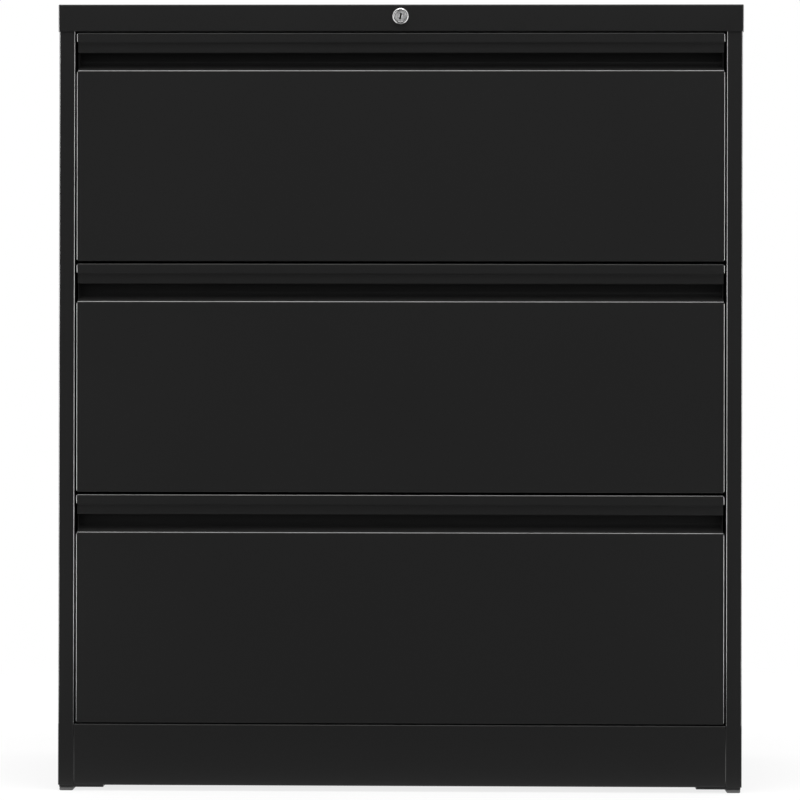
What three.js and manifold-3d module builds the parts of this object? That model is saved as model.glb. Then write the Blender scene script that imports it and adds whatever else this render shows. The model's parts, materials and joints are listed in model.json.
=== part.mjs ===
// Lateral filing cabinet: a folded steel case, drawers on telescopic slides, a lock in the top panel.
// Millimetres. X runs to the right seen from the front, the front faces -Y, Z is up, the floor is Z = 0.
import * as THREE from "three";
import { mergeVertices } from "three/addons/utils/BufferGeometryUtils.js";
import Module from "manifold-3d";

const wasm = await Module();
wasm.setup();

// Overall sizes
const WIDTH = 900; // across the top panel
const DEPTH = 450; // top panel, front to back
const DRAWER_COUNT = 3;
const BAY_HEIGHT = 303.5; // one drawer with the gap round it
const CAP_HEIGHT = 35.5; // skirt of the top panel
const PLINTH_HEIGHT = 80.5; // kick plate

// Sheet steel and fits
const SHEET = 0.7;
const BEND = 1.05; // inside radius of a fold
const BEND_STEPS = 4; // straight pieces in a fold
const FIT = 0.3; // gap between two pieces that are fastened together
const RUN = 0.5; // gap between two pieces that move past each other

// Case
const STILE_WIDTH = 21;
const STILE_RETURN = 60; // fold behind a stile that carries the slides
const SIDE_REAR_FLANGE = 20;
const UPRIGHT_WIDTH = 50;
const CAP_RADIUS = 1.8; // outer edges of the top panel
const CAP_RETURN = 12; // fold under the front skirt
const KICK_FLANGE = 22;
const BASE_FLANGE = 15;

// Feet
const GLIDE_WIDTH = 18;
const GLIDE_LENGTH = 32;
const GLIDE_HEIGHT = 4.4;
const GLIDE_RADIUS = 2.5;
const GLIDE_CHAMFER = 0.8;
const GLIDE_INSET = 2; // front end of a glide behind the face of the case
const STUD_RADIUS = 4;
const STUD_LENGTH = 26;
const GUSSET_THICKNESS = 2.5;
const GUSSET_LEG = 58;
const GUSSET_TIP = 24; // straight end of each leg
const GUSSET_INSET = 1.5;

// Drawer fronts
const DRAWER_GAP = 3; // between one front and the next
const DRAWER_SIDE_GAP = 2;
const RAIL_HEIGHT = 12.2; // flat strip above the pull
const PULL_STEP = 2.6; // the pull lip stands this far behind the strip
const PULL_DROP = 26.5; // lower edge of the pull lip below the top
const PULL_HEIGHT = 49.5; // upper edge of the flat panel below the top
const TROUGH_DEPTH = 24;
const TROUGH_END_SETBACK = 8; // front edge of the walls that close the trough
const SCOOP_RISE = 9;
const SCOOP_RADIUS = 8;
const LIP_RADIUS = 1.8;
const HEM_RADIUS = 0.9;
const HEM_HEIGHT = 10;
const RAIL_RETURN = 10; // folds at the two ends of the strip
const LINER_FLANGE = 12;

// Drawer trays
const TRAY_LIFT = 14; // floor of the tray above the bottom of its bay
const WALL_HEIGHT = 248;
const BACK_WALL_HEIGHT = 165;
const FRONT_WALL_HEIGHT = 30;
const WALL_HEM = 10; // fold along the top of a side wall
const HANGER_THICKNESS = 3;
const HANGER_HEIGHT = 22;
const HANGER_INSET = 32; // middle of a hanger bar from the end of the tray
const HANGER_OVERHANG = 3;
const NOTCH_DEPTH = 12;
const LETTER_STEP = 20; // spare notch for shorter folders

// Slides
const SLIDE_STEEL = 1.2;
const SLIDE_BEND = 0.4;
const SLIDE_BEND_STEPS = 2;
const SLIDE_HEIGHT = 45;
const SLIDE_CENTRE = 84; // above the bottom of the bay
const SLIDE_SETBACK = 2.5; // front end behind the drawer front
const SLIDE_REAR_INSET = 10;
const SLIDE_PLAY = 0.6; // between the backs of two members
const BALL_ROOM = 3; // between the raceways of two members
const OUTER_LIP_REACH = 9.6;
const OUTER_LIP = 8;
const MIDDLE_LIP = 6;
const INNER_FLANGE = 3.6;
const SLIDE_THICKNESS = 12.5;

// Lock
const LOCK_PROUD = 3; // rim in front of the top panel
const LOCK_DROP = 15.7; // below the top
const LOCK_RIM_RADIUS = 10.5;
const LOCK_RIM_CHAMFER = 1.4;
const LOCK_BARREL_RADIUS = 9.5;
const LOCK_LENGTH = 20;
const PLUG_RADIUS = 7;
const PLUG_RECESS = 0.5;
const PLUG_TAIL = 3;
const KEYHOLE_HEIGHT = 7.4;
const KEYHOLE_WIDTH = 1.5;
const KEYHOLE_DEPTH = 9;
const KEYHOLE_TILT = THREE.MathUtils.degToRad(11);
const NUT_ACROSS_FLATS = 24;
const NUT_THICKNESS = 4;
const ROD_RADIUS = 3.5;
const CRANK_THICKNESS = 3;
const CRANK_RADIUS = 5;
const PIN_RADIUS = 2;
const PIN_PLAY = 0.6;
const SLOT_END_PLAY = 1;
const BAR_LIFT = 12; // upward travel of the lock bar
const BAR_WIDTH = 20;
const BAR_THICKNESS = 3;
const BAR_HEAD = 6; // bar above the middle of its slot
const BAR_TAIL = 40; // bar below the lowest hook
const HOOK_REACH = 18; // from the tray to the bar
const HOOK_WIDTH = 14;
const HOOK_TOOTH = 16;
const HOOK_STEEL = 3;
const HOOK_PLAY = 4;
const HOOK_CLEAR = 2;
const CATCH_HEIGHT = 130; // above the floor of the tray
const CATCH_STEEL = 1.5;
const CATCH_BEND = 0.8;
const CATCH_WIDTH = 24;
const CATCH_REACH = 14;
const CATCH_LIP = 12;
const CATCH_PLATE = 22;
const STRAP_STEEL = 1.2;
const STRAP_BEND = 0.5;
const STRAP_FOOT = 12;
const STRAP_HEIGHT = 20;
const UPPER_STRAP_OFFSET = 70; // above the tooth of the top hook
const ROD_HANGER_STEEL = 1.5;
const ROD_HANGER_WIDTH = 28;
const ROD_HANGER_FLANGE = 16;
const ROD_HANGER_DROP = 9;
const ROUND_SIDES = 32; // flats round a turned piece
const STUD_SIDES = 16;

// Planes that the pieces share
const HALF = SHEET / 2;
const SKIN = SHEET + FIT; // one layer of sheet and the gap behind it
const CORNER = BEND + SHEET; // outside radius of a fold
const FRONT = (LOCK_PROUD - DEPTH) / 2; // front skirt of the top panel
const BACK = FRONT + DEPTH;
const FACE = FRONT + SKIN; // stiles, drawer fronts and kick plate
const REAR = BACK - SKIN; // back panel
const SIDE = WIDTH / 2 - SKIN; // side panel
const OPENING = SIDE - STILE_WIDTH; // half the width between the stiles
const SHELL_BOTTOM = GLIDE_HEIGHT + FIT + GUSSET_THICKNESS + FIT;
const PLINTH_TOP = SHELL_BOTTOM + PLINTH_HEIGHT;
const CAP_BOTTOM = PLINTH_TOP + DRAWER_COUNT * BAY_HEIGHT;
const HEIGHT = CAP_BOTTOM + CAP_HEIGHT;
const SHELL_TOP = HEIGHT - SKIN;
const UPRIGHT_BACK = REAR - 2 * SKIN;
const UPRIGHT_FRONT = UPRIGHT_BACK - UPRIGHT_WIDTH;
const STUD_X = SIDE - STILE_WIDTH / 2;
const STUD_INSET = GLIDE_INSET + GLIDE_LENGTH / 2;
const STUD_Y = { front: FACE + STUD_INSET, rear: REAR - STUD_INSET };

const FRONT_HALF = OPENING - DRAWER_SIDE_GAP; // half the width of a drawer front
const FRONT_BOTTOM = DRAWER_GAP / 2; // heights inside a bay start at its bottom
const FRONT_TOP = BAY_HEIGHT - DRAWER_GAP / 2;
const PANEL_TOP = FRONT_TOP - PULL_HEIGHT;
const FRONT_BACK = FACE + TROUGH_DEPTH + SHEET + SKIN; // rear face of the liner
const SLIDE_PLANE = OPENING - FIT; // back of an outer slide member
const SLIDE_FRONT = FRONT_BACK + SLIDE_SETBACK;
const SLIDE_BACK = UPRIGHT_BACK - SLIDE_REAR_INSET;
const TRAY_HALF = SLIDE_PLANE - SLIDE_THICKNESS - FIT;
const TRAY_FRONT = FRONT_BACK + FIT;
const WALL_TOP = TRAY_LIFT + WALL_HEIGHT;

const LOCK_Z = HEIGHT - LOCK_DROP;
const CRANK_OFFSET = BAR_LIFT / 2; // the pin starts this far left of and below the rod
const CRANK_ARM = CRANK_OFFSET * Math.SQRT2;
const BAR_X = -(CRANK_OFFSET + CRANK_ARM) / 2;
const BAR_BACK = REAR - SHEET - RUN;
const BAR_FRONT = BAR_BACK - BAR_THICKNESS;
const CRANK_BACK = BAR_FRONT - RUN;
const CRANK_FRONT = CRANK_BACK - CRANK_THICKNESS;
const TRAY_BACK = BAR_FRONT - HOOK_REACH;
const CATCH_Z = TRAY_LIFT + CATCH_HEIGHT; // underside of the catch
const TOOTH_TOP = CATCH_Z - CATCH_LIP - HOOK_CLEAR;
const HOOK_BOTTOM = TOOTH_TOP - HOOK_TOOTH - HOOK_STEEL;
const HANGER_Y = { front: TRAY_FRONT + HANGER_INSET, rear: TRAY_BACK - HANGER_INSET };

const bayBottom = (drawer) => PLINTH_TOP + (DRAWER_COUNT - drawer) * BAY_HEIGHT;
const DRAWERS = Array.from({ length: DRAWER_COUNT }, (_, i) => i + 1); // 1 is the top drawer
const HANDS = { left: -1, right: 1 };
const ENDS = ["front", "rear"];

// Finishes
const finish = (color, roughness, metalness) =>
  new THREE.MeshStandardMaterial({ color, roughness, metalness });
const BLACK_PAINT = finish(0x232323, 0.5, 0.1);
const ZINC_STEEL = finish(0xa9adb0, 0.38, 0.9);
const CHROME = finish(0xc9cbcd, 0.16, 1);
const GREY_NYLON = finish(0x55565a, 0.55, 0);

// Solids from three.js geometries
function solidOf(geometry) {
  const plain = geometry.clone();
  plain.deleteAttribute("normal");
  plain.deleteAttribute("uv");
  const merged = mergeVertices(plain);
  const mesh = new wasm.Mesh({
    numProp: 3,
    vertProperties: merged.attributes.position.array,
    triVerts: new Uint32Array(merged.index.array),
  });
  return new wasm.Manifold(mesh);
}

function geometryOf(solid) {
  const mesh = solid.getMesh();
  const geometry = new THREE.BufferGeometry();
  geometry.setAttribute("position", new THREE.BufferAttribute(mesh.vertProperties, 3));
  geometry.setIndex(new THREE.BufferAttribute(mesh.triVerts, 1));
  geometry.computeVertexNormals();
  return geometry;
}

const combine = (operation, geometries) =>
  geometryOf(geometries.map(solidOf).reduce((whole, next) => whole[operation](next)));
const join = (...geometries) => combine("add", geometries);
const cut = (...geometries) => combine("subtract", geometries);
const overlap = (...geometries) => combine("intersect", geometries);

function block([x0, x1], [y0, y1], [z0, z1]) {
  const geometry = new THREE.BoxGeometry(x1 - x0, y1 - y0, z1 - z0);
  return geometry.translate((x0 + x1) / 2, (y0 + y1) / 2, (z0 + z1) / 2);
}

function uprightRod(radius, [x, y], [z0, z1]) {
  const geometry = new THREE.CylinderGeometry(radius, radius, z1 - z0, STUD_SIDES);
  return geometry.rotateX(Math.PI / 2).translate(x, y, (z0 + z1) / 2);
}

function levelRod(radius, [x, z], [y0, y1], sides = ROUND_SIDES) {
  const geometry = new THREE.CylinderGeometry(radius, radius, y1 - y0, sides);
  return geometry.translate(x, (y0 + y1) / 2, z);
}

// Shapes are drawn in (y, z) for x, in (x, z) for y and in (x, y) for z.
const AXES = {
  x: [new THREE.Vector3(0, 1, 0), new THREE.Vector3(0, 0, 1), new THREE.Vector3(1, 0, 0)],
  y: [new THREE.Vector3(1, 0, 0), new THREE.Vector3(0, 0, 1), new THREE.Vector3(0, -1, 0)],
  z: [new THREE.Vector3(1, 0, 0), new THREE.Vector3(0, 1, 0), new THREE.Vector3(0, 0, 1)],
};

function extrude(shape, axis, [from, to], curveSegments = BEND_STEPS) {
  const depth = to - from;
  const geometry = new THREE.ExtrudeGeometry(shape, { depth, bevelEnabled: false, curveSegments });
  const [right, up, along] = AXES[axis];
  const start = along.clone().multiplyScalar(axis === "y" ? -to : from);
  const place = new THREE.Matrix4().makeBasis(right, up, along).setPosition(start);
  return geometry.applyMatrix4(place);
}

// Middle line of a folded sheet: corners are [a, b] or [a, b, inside radius of that fold].
function middleLine(corners, { thickness, bend, steps }) {
  const points = corners.map(([a, b]) => new THREE.Vector2(a, b));
  const line = [];
  points.forEach((corner, i) => {
    const arriving = corner.clone().sub(points[i - 1] ?? corner).normalize();
    const leaving = (points[i + 1] ?? corner).clone().sub(corner).normalize();
    const along = i === 0 ? leaving : arriving;
    const normal = new THREE.Vector2(-along.y, along.x);
    if (i === 0 || i === points.length - 1) {
      line.push({ point: corner, normal });
      return;
    }
    const turn = Math.atan2(arriving.cross(leaving), arriving.dot(leaving));
    const radius = (corners[i][2] ?? bend) + thickness / 2;
    const start = corner.clone().addScaledVector(arriving, -radius * Math.tan(Math.abs(turn) / 2));
    const toCentre = Math.sign(turn) * radius;
    const centre = start.addScaledVector(normal, toCentre);
    for (let step = 0; step <= steps; step++) {
      const turned = normal.clone().rotateAround(new THREE.Vector2(), (turn * step) / steps);
      line.push({ point: centre.clone().addScaledVector(turned, -toCentre), normal: turned });
    }
  });
  return line;
}

const CASE_SHEET = { thickness: SHEET, bend: BEND, steps: BEND_STEPS };
const SLIDE_SHEET = { thickness: SLIDE_STEEL, bend: SLIDE_BEND, steps: SLIDE_BEND_STEPS };
const CATCH_SHEET = { thickness: CATCH_STEEL, bend: CATCH_BEND, steps: BEND_STEPS };
const STRAP_SHEET = { thickness: STRAP_STEEL, bend: STRAP_BEND, steps: BEND_STEPS };
const HANGER_SHEET = { thickness: ROD_HANGER_STEEL, bend: CATCH_BEND, steps: BEND_STEPS };

const offsetLine = (line, distance) =>
  line.map(({ point, normal }) => point.clone().addScaledVector(normal, distance));

function sheetShape(corners, sheet = CASE_SHEET) {
  const line = middleLine(corners, sheet);
  const left = offsetLine(line, sheet.thickness / 2);
  const right = offsetLine(line, -sheet.thickness / 2);
  return new THREE.Shape([...left, ...right.reverse()]);
}

// The area inside a folded sheet whose outside is on the left of its middle line.
function filledShape(corners, sheet = CASE_SHEET) {
  return new THREE.Shape(offsetLine(middleLine(corners, sheet), sheet.thickness / 2));
}

function roundedRectangle([a0, a1], [b0, b1], radius) {
  const quarter = Math.PI / 2;
  return new THREE.Shape()
    .absarc(a1 - radius, b0 + radius, radius, -quarter, 0)
    .absarc(a1 - radius, b1 - radius, radius, 0, quarter)
    .absarc(a0 + radius, b1 - radius, radius, quarter, 2 * quarter)
    .absarc(a0 + radius, b0 + radius, radius, 2 * quarter, 3 * quarter);
}

const mirrored = (corners, hand) => corners.map(([x, ...rest]) => [hand * x, ...rest]);
const span = (hand, near, far) => [hand * near, hand * far].sort((a, b) => a - b);
const eachHand = (make) => Object.values(HANDS).map(make);

// Case
function topPanel() {
  const below = CAP_BOTTOM - CAP_RADIUS - FIT;
  const wide = [-WIDTH / 2, WIDTH / 2];
  const deep = [FRONT, BACK];
  const tall = [below, HEIGHT];
  const lid = overlap(
    extrude(roundedRectangle(deep, tall, CAP_RADIUS), "x", wide),
    extrude(roundedRectangle(wide, tall, CAP_RADIUS), "y", deep),
    extrude(roundedRectangle(wide, deep, CAP_RADIUS), "z", [CAP_BOTTOM, HEIGHT]),
  );
  const inside = block(
    [SHEET - WIDTH / 2, WIDTH / 2 - SHEET],
    [FRONT + SHEET, BACK - SHEET],
    [below, HEIGHT - SHEET],
  );
  const betweenStiles = [FIT - OPENING, OPENING - FIT];
  const squareEdge = block(betweenStiles, [FRONT - FIT, FACE], [below, CAP_BOTTOM + CORNER]);
  const foldedEdge = extrude(
    sheetShape([
      [FRONT + CAP_RETURN, CAP_BOTTOM + HALF],
      [FRONT + HALF, CAP_BOTTOM + HALF],
      [FRONT + HALF, CAP_BOTTOM + 2 * CORNER],
    ]),
    "x",
    betweenStiles,
  );
  const lockHole = levelRod(LOCK_BARREL_RADIUS + FIT, [0, LOCK_Z], [FRONT - FIT, FACE]);
  return cut(join(cut(lid, inside, squareEdge), foldedEdge), lockHole);
}

function sidePanel() {
  const outline = [
    [SIDE - SIDE_REAR_FLANGE, REAR - SKIN - HALF],
    [SIDE - HALF, REAR - SKIN - HALF],
    [SIDE - HALF, FACE + HALF],
    [OPENING + HALF, FACE + HALF],
    [OPENING + HALF, FACE + STILE_RETURN],
  ];
  const wall = extrude(sheetShape(outline), "z", [SHELL_BOTTOM, SHELL_TOP]);
  const foot = extrude(filledShape(outline), "z", [SHELL_BOTTOM, SHELL_BOTTOM + SHEET]);
  const head = extrude(filledShape(outline), "z", [SHELL_TOP - SHEET, SHELL_TOP]);
  const studHoles = ENDS.map((end) =>
    uprightRod(
      STUD_RADIUS + RUN,
      [STUD_X, STUD_Y[end]],
      [SHELL_BOTTOM - FIT, SHELL_BOTTOM + SKIN],
    ),
  );
  return cut(join(wall, foot, head), ...studHoles);
}

function backPanel() {
  return block([-SIDE, SIDE], [REAR - SHEET, REAR], [SHELL_BOTTOM, SHELL_TOP]);
}

function basePanel() {
  const floor = PLINTH_TOP - SKIN - HALF;
  const rear = REAR - SKIN - HALF;
  const pan = extrude(
    sheetShape([
      [FACE + SKIN + HALF, floor - BASE_FLANGE],
      [FACE + SKIN + HALF, floor],
      [rear, floor],
      [rear, SHELL_BOTTOM + HALF],
      [rear - KICK_FLANGE, SHELL_BOTTOM + HALF],
    ]),
    "x",
    [FIT - OPENING, OPENING - FIT],
  );
  const wings = eachHand((hand) =>
    extrude(
      sheetShape([
        [hand * (OPENING - CORNER), floor],
        [hand * (SIDE - SKIN - HALF), floor],
        [hand * (SIDE - SKIN - HALF), floor - BASE_FLANGE],
      ]),
      "y",
      [FACE + STILE_RETURN + FIT, UPRIGHT_FRONT - FIT],
    ),
  );
  return join(pan, ...wings);
}

function kickPlate() {
  const outline = [
    [FACE + KICK_FLANGE, PLINTH_TOP - HALF],
    [FACE + HALF, PLINTH_TOP - HALF],
    [FACE + HALF, SHELL_BOTTOM + HALF],
    [FACE + KICK_FLANGE, SHELL_BOTTOM + HALF],
  ];
  return extrude(sheetShape(outline), "x", [FIT - OPENING, OPENING - FIT]);
}

function rearUpright() {
  const outline = [
    [SIDE - CORNER, UPRIGHT_BACK - HALF],
    [OPENING + HALF, UPRIGHT_BACK - HALF],
    [OPENING + HALF, UPRIGHT_FRONT + HALF],
    [SIDE - CORNER, UPRIGHT_FRONT + HALF],
  ];
  return extrude(sheetShape(outline), "z", [SHELL_BOTTOM + SKIN, SHELL_TOP - SKIN]);
}

// Feet
function cornerGusset(end) {
  const corners = [
    [0, 0],
    [GUSSET_LEG, 0],
    [GUSSET_LEG, GUSSET_TIP],
    [GUSSET_TIP, GUSSET_LEG],
    [0, GUSSET_LEG],
  ];
  const inward = end === "front" ? 1 : -1;
  const edge = (end === "front" ? FACE : REAR) + inward * GUSSET_INSET;
  const outline = corners.map(
    ([a, b]) => new THREE.Vector2(SIDE - GUSSET_INSET - a, edge + inward * b),
  );
  const bottom = GLIDE_HEIGHT + FIT;
  const plate = extrude(new THREE.Shape(outline), "z", [bottom, bottom + GUSSET_THICKNESS]);
  const hole = uprightRod(STUD_RADIUS + FIT, [STUD_X, STUD_Y[end]], [bottom - FIT, SHELL_BOTTOM]);
  return cut(plate, hole);
}

function leveller(end) {
  const outline = roundedRectangle(
    [STUD_X - GLIDE_WIDTH / 2 + GLIDE_CHAMFER, STUD_X + GLIDE_WIDTH / 2 - GLIDE_CHAMFER],
    [
      STUD_Y[end] - GLIDE_LENGTH / 2 + GLIDE_CHAMFER,
      STUD_Y[end] + GLIDE_LENGTH / 2 - GLIDE_CHAMFER,
    ],
    GLIDE_RADIUS - GLIDE_CHAMFER,
  );
  const glide = new THREE.ExtrudeGeometry(outline, {
    depth: GLIDE_HEIGHT - 2 * GLIDE_CHAMFER,
    bevelSize: GLIDE_CHAMFER,
    bevelThickness: GLIDE_CHAMFER,
    bevelSegments: 1,
    curveSegments: BEND_STEPS,
  }).translate(0, 0, GLIDE_CHAMFER);
  const stud = uprightRod(STUD_RADIUS, [STUD_X, STUD_Y[end]], [GLIDE_HEIGHT / 2, STUD_LENGTH]);
  return join(glide, stud);
}

// Slides, drawn for the right-hand side: out is the distance from the case towards the drawer
function slideMember(corners) {
  const outline = corners.map(([out, up]) => [SLIDE_PLANE - out, up]);
  return extrude(sheetShape(outline, SLIDE_SHEET), "y", [SLIDE_FRONT, SLIDE_BACK]);
}

function channel(back, lip, top, lipLength) {
  return [
    [lip, top + SLIDE_STEEL / 2 - lipLength],
    [lip, top],
    [back, top],
    [back, -top],
    [lip, -top],
    [lip, lipLength - top - SLIDE_STEEL / 2],
  ];
}

const LAYER = SLIDE_STEEL + SLIDE_PLAY; // one back and the gap to the next
const RACEWAY = SLIDE_STEEL + BALL_ROOM; // one raceway and the gap to the next
const OUTER_BACK = SLIDE_STEEL / 2;
const OUTER_LIP_AT = OUTER_LIP_REACH - SLIDE_STEEL / 2;
const OUTER_TOP = SLIDE_HEIGHT / 2 - SLIDE_STEEL / 2;

function slideOuter() {
  return slideMember(channel(OUTER_BACK, OUTER_LIP_AT, OUTER_TOP, OUTER_LIP));
}

function slideMiddle() {
  return slideMember(
    channel(OUTER_BACK + LAYER, OUTER_LIP_AT - LAYER, OUTER_TOP - RACEWAY, MIDDLE_LIP),
  );
}

function slideInner() {
  const race = OUTER_BACK + 2 * LAYER;
  const top = OUTER_TOP - RACEWAY - SLIDE_STEEL / 2 - BALL_ROOM;
  const leg = top - INNER_FLANGE;
  const web = SLIDE_THICKNESS - SLIDE_STEEL / 2;
  return slideMember([
    [race, top],
    [race, leg],
    [web, leg],
    [web, -leg],
    [race, -leg],
    [race, -top],
  ]);
}

// Drawers, drawn with the bottom of their bay at Z = 0
function drawerFront() {
  const troughBack = FACE + TROUGH_DEPTH + HALF;
  const panelEdge = PANEL_TOP - HALF;
  const lipFront = FACE + PULL_STEP + HALF;
  const lipBack = lipFront + 2 * HEM_RADIUS + SHEET;
  const lipBottom = FRONT_TOP - PULL_DROP + HALF;
  const straight = FRONT_HALF - CORNER;
  const profile = extrude(
    sheetShape([
      [FACE + TROUGH_DEPTH, FRONT_BOTTOM + HALF],
      [FACE + HALF, FRONT_BOTTOM + HALF],
      [FACE + HALF, panelEdge, LIP_RADIUS],
      [troughBack, panelEdge + SCOOP_RISE, SCOOP_RADIUS],
      [troughBack, FRONT_TOP - HALF],
      [FACE + HALF, FRONT_TOP - HALF],
      [FACE + HALF, FRONT_TOP - RAIL_HEIGHT],
      [lipFront, FRONT_TOP - RAIL_HEIGHT - PULL_STEP],
      [lipFront, lipBottom, HEM_RADIUS],
      [lipBack, lipBottom, HEM_RADIUS],
      [lipBack, lipBottom + HEM_HEIGHT],
    ]),
    "x",
    [-straight, straight],
  );
  const endFold = (hand, depth, heights) =>
    extrude(
      sheetShape([
        [hand * (straight - CORNER), FACE + HALF],
        [hand * (FRONT_HALF - HALF), FACE + HALF],
        [hand * (FRONT_HALF - HALF), depth],
      ]),
      "z",
      heights,
    );
  const panelFold = [FRONT_BOTTOM + CORNER, PANEL_TOP - LIP_RADIUS - SHEET];
  const railFold = [FRONT_TOP - RAIL_HEIGHT + HALF, FRONT_TOP - CORNER];
  const scoopSlope = SCOOP_RISE / TROUGH_DEPTH;
  const troughWall = new THREE.Shape([
    new THREE.Vector2(
      FACE + TROUGH_END_SETBACK,
      panelEdge + TROUGH_END_SETBACK * scoopSlope,
    ),
    new THREE.Vector2(troughBack, panelEdge + SCOOP_RISE),
    new THREE.Vector2(troughBack, FRONT_TOP - HALF),
    new THREE.Vector2(FACE + TROUGH_END_SETBACK, FRONT_TOP - HALF),
  ]);
  const ends = eachHand((hand) => [
    endFold(hand, FRONT_BACK, panelFold),
    endFold(hand, FACE + RAIL_RETURN, railFold),
    extrude(troughWall, "x", span(hand, straight - SHEET, straight)),
  ]);
  return join(profile, ...ends.flat());
}

function frontLiner() {
  const half = FRONT_HALF - SKIN;
  const bottom = FRONT_BOTTOM + SKIN;
  const plate = block([-half, half], [FRONT_BACK - SHEET, FRONT_BACK], [bottom, FRONT_TOP - SHEET]);
  const flanges = eachHand((hand) =>
    block(
      span(hand, half - SHEET, half),
      [FRONT_BACK - LINER_FLANGE, FRONT_BACK],
      [bottom, PANEL_TOP - CORNER - LIP_RADIUS],
    ),
  );
  return join(plate, ...flanges);
}

function tray() {
  const wall = TRAY_HALF - HALF;
  const outline = [
    [TRAY_HALF - WALL_HEM, WALL_TOP - HALF],
    [wall, WALL_TOP - HALF],
    [wall, TRAY_LIFT + HALF],
    [-wall, TRAY_LIFT + HALF],
    [-wall, WALL_TOP - HALF],
    [WALL_HEM - TRAY_HALF, WALL_TOP - HALF],
  ];
  const sides = extrude(sheetShape(outline), "y", [TRAY_FRONT, TRAY_BACK]);
  const across = [-TRAY_HALF - FIT, TRAY_HALF + FIT];
  const endWall = ([y0, y1], height) =>
    cut(
      extrude(filledShape(outline), "y", [y0, y1]),
      block(across, [y0 - FIT, y1 + FIT], [TRAY_LIFT + height, WALL_TOP + FIT]),
    );
  const frontWall = endWall([TRAY_FRONT, TRAY_FRONT + SHEET], FRONT_WALL_HEIGHT);
  const backWall = endWall([TRAY_BACK - SHEET, TRAY_BACK], BACK_WALL_HEIGHT);
  const notchHalf = HANGER_THICKNESS / 2 + FIT;
  const notchPlaces = [HANGER_Y.front, HANGER_Y.rear, HANGER_Y.rear - LETTER_STEP];
  const notches = notchPlaces.flatMap((y) =>
    eachHand((hand) =>
      block(
        span(hand, TRAY_HALF - WALL_HEM - FIT, TRAY_HALF + FIT),
        [y - notchHalf, y + notchHalf],
        [WALL_TOP - NOTCH_DEPTH, WALL_TOP + FIT],
      ),
    ),
  );
  return cut(join(sides, frontWall, backWall), ...notches);
}

function hangerBar(end) {
  const tip = TRAY_HALF + HANGER_OVERHANG;
  const shoulder = TRAY_HALF - WALL_HEM - FIT;
  const seat = WALL_TOP - NOTCH_DEPTH + FIT;
  const rightHalf = [
    [tip, WALL_TOP],
    [tip, seat],
    [shoulder, seat],
    [shoulder, WALL_TOP - HANGER_HEIGHT],
  ];
  const leftHalf = mirrored(rightHalf, HANDS.left).reverse();
  const outline = [...rightHalf, ...leftHalf].map(([x, z]) => new THREE.Vector2(x, z));
  const middle = HANGER_Y[end];
  const half = HANGER_THICKNESS / 2;
  return extrude(new THREE.Shape(outline), "y", [middle - half, middle + half]);
}

function drawerCatch() {
  const plate = TRAY_BACK + FIT + CATCH_STEEL / 2;
  const shelf = CATCH_Z + CATCH_STEEL / 2;
  const lip = TRAY_BACK + CATCH_REACH - CATCH_STEEL / 2;
  const outline = [
    [plate, CATCH_Z + CATCH_PLATE],
    [plate, shelf],
    [lip, shelf],
    [lip, CATCH_Z - CATCH_LIP],
  ];
  const across = [BAR_X - CATCH_WIDTH / 2, BAR_X + CATCH_WIDTH / 2];
  return extrude(sheetShape(outline, CATCH_SHEET), "x", across);
}

// Lock
function lockHousing() {
  const rim = FRONT - LOCK_PROUD;
  const bore = PLUG_RADIUS + FIT;
  const profile = [
    [bore, rim + LOCK_RIM_CHAMFER / 2],
    [bore, FRONT + LOCK_LENGTH],
    [LOCK_BARREL_RADIUS, FRONT + LOCK_LENGTH],
    [LOCK_BARREL_RADIUS, FRONT - FIT],
    [LOCK_RIM_RADIUS, FRONT - FIT],
    [LOCK_RIM_RADIUS, rim + LOCK_RIM_CHAMFER],
    [LOCK_RIM_RADIUS - LOCK_RIM_CHAMFER, rim],
    [bore + LOCK_RIM_CHAMFER / 2, rim],
    [bore, rim + LOCK_RIM_CHAMFER / 2],
  ];
  const points = profile.map(([radius, y]) => new THREE.Vector2(radius, y)).reverse();
  return new THREE.LatheGeometry(points, ROUND_SIDES).translate(0, 0, LOCK_Z);
}

function lockNut() {
  const radius = NUT_ACROSS_FLATS / Math.sqrt(3);
  const ends = [FACE, FACE + NUT_THICKNESS];
  const hexagon = levelRod(radius, [0, LOCK_Z], ends, 6);
  const hole = levelRod(LOCK_BARREL_RADIUS + FIT, [0, LOCK_Z], [FRONT, FACE + NUT_THICKNESS + FIT]);
  return cut(hexagon, hole);
}

function lockPlug() {
  const front = FRONT - LOCK_PROUD + PLUG_RECESS;
  const barrel = levelRod(PLUG_RADIUS, [0, LOCK_Z], [front, FRONT + LOCK_LENGTH + PLUG_TAIL]);
  const keyhole = new THREE.BoxGeometry(KEYHOLE_WIDTH, 2 * KEYHOLE_DEPTH, KEYHOLE_HEIGHT)
    .rotateY(KEYHOLE_TILT)
    .translate(0, front, LOCK_Z);
  return cut(barrel, keyhole);
}

function lockRod() {
  const pin = [-CRANK_OFFSET, LOCK_Z - CRANK_OFFSET];
  const shaft = levelRod(ROD_RADIUS, [0, LOCK_Z], [FRONT + LOCK_LENGTH + PLUG_TAIL + FIT, CRANK_BACK]);
  const quarter = Math.PI / 4;
  const arm = new THREE.Shape()
    .absarc(0, LOCK_Z, CRANK_RADIUS, -quarter, 3 * quarter)
    .absarc(...pin, CRANK_RADIUS, 3 * quarter, 7 * quarter);
  const crank = extrude(arm, "y", [CRANK_FRONT, CRANK_BACK], 2 * BEND_STEPS);
  return join(shaft, crank, levelRod(PIN_RADIUS, pin, [CRANK_FRONT, BAR_BACK]));
}

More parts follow.
